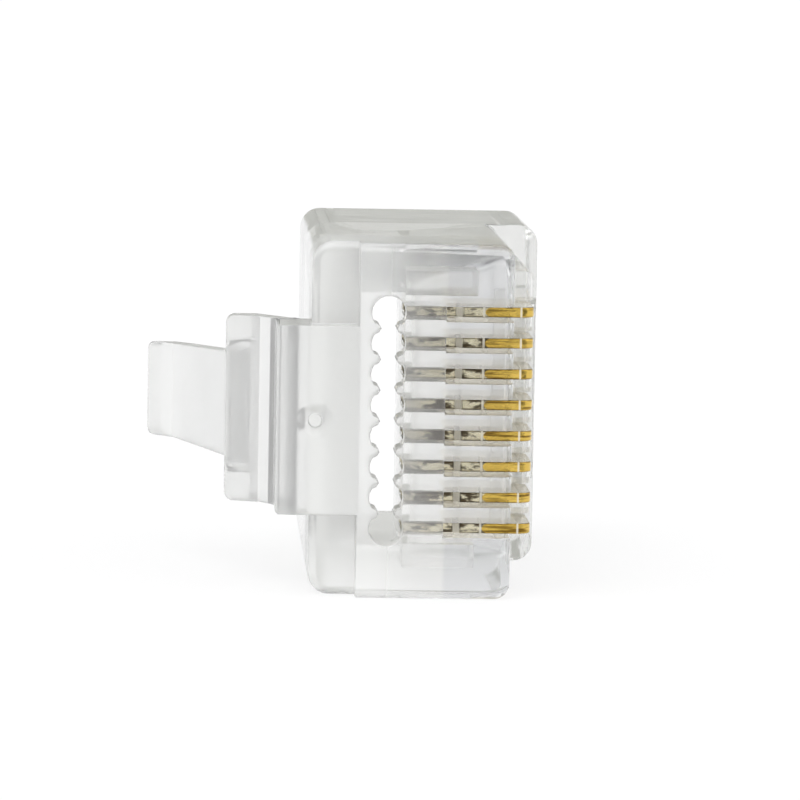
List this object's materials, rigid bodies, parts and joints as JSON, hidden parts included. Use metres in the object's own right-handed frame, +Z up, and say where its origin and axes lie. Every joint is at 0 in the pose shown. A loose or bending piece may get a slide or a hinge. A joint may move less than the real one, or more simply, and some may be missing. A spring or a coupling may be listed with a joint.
{
  "type": "rj45 modular plug",
  "caption": "Clear plastic modular network plug with gold contacts, wire holes through its nose, a hollow rear for the cable and a springy latch lever with a finger tab.",
  "frame": {"origin": "under the middle of the whole plug's box, on the surface that it lies on", "axes": "+Y from the nose to the cable end, +X from the latch side to the contact side, +Z up across the plug's width, from the narrow side that it lies on"},
  "size_m": [0.0134, 0.0216, 0.0117],
  "materials": {
    "clear_plastic": "clear polycarbonate, polished outer faces",
    "contact_metal": "stamped bronze, nickel plated, gold on the contact edge"
  },
  "bodies": {
    "plug_body": {"housing": "clear_plastic", "contact_1": "contact_metal", "contact_2": "contact_metal", "contact_3": "contact_metal", "contact_4": "contact_metal", "contact_5": "contact_metal", "contact_6": "contact_metal", "contact_7": "contact_metal", "contact_8": "contact_metal"},
    "latch_lever": {"latch": "clear_plastic"}
  },
  "joints": [
    {"name": "latch_flex", "type": "hinge", "parent": "plug_body", "child": "latch_lever", "pos_m": [-0.00208, -0.00742, 0.00584], "axis": [0, 0, -1], "range_deg": [0, 20], "stiffness_Nm_per_rad": 0.05}
  ]
}
